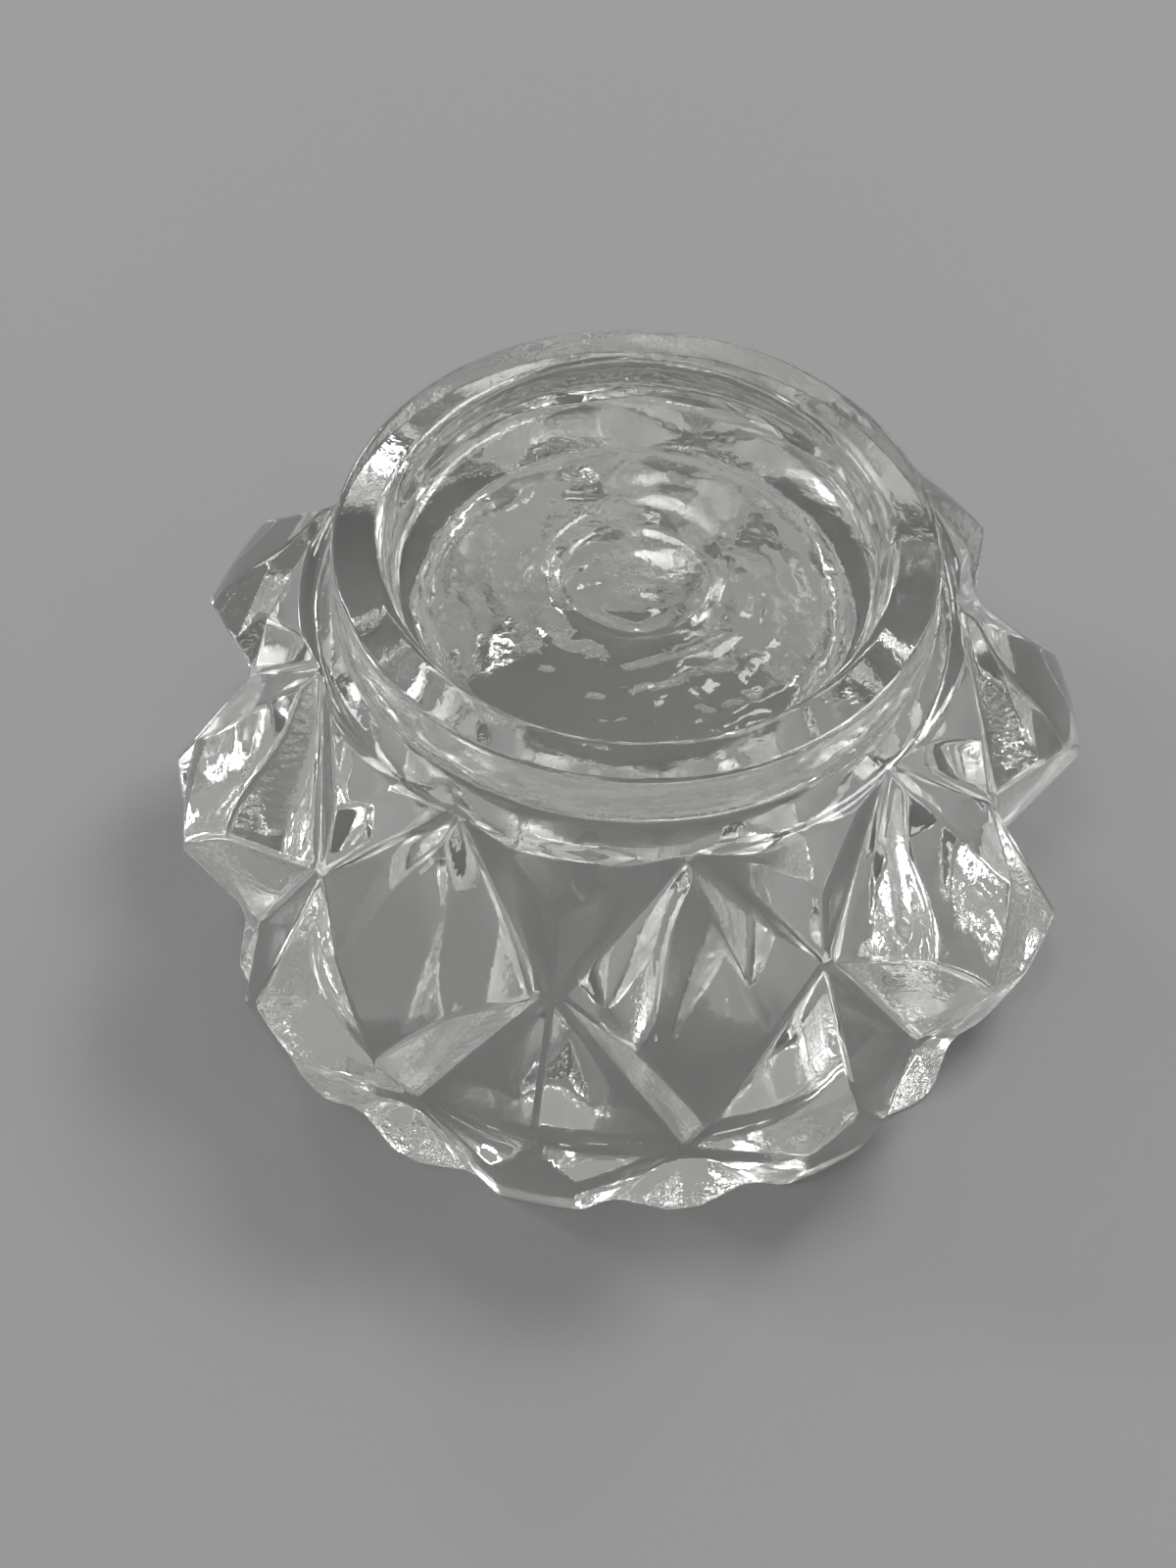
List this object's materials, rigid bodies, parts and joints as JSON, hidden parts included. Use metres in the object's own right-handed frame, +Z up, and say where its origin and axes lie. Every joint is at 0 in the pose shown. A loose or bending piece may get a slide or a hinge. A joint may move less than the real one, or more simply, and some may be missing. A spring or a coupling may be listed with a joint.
{
  "type": "open salt cellar",
  "caption": "Colourless pressed-glass open salt cellar: a barrel of pointed diamond bosses around a smooth bowl, with a foot ring, standing upside down on its rim.",
  "frame": {"origin": "on the axis of the cellar, at the table it stands on", "axes": "+Z up along the axis, from the bowl's rim on the table to the foot ring on top; -Y faces the camera of the picture"},
  "size_m": [0.066, 0.0654, 0.0379],
  "materials": {
    "clear_glass": "pressed and fire-polished, colourless"
  },
  "bodies": {
    "root": {"glass_body": "clear_glass"}
  },
  "joints": []
}
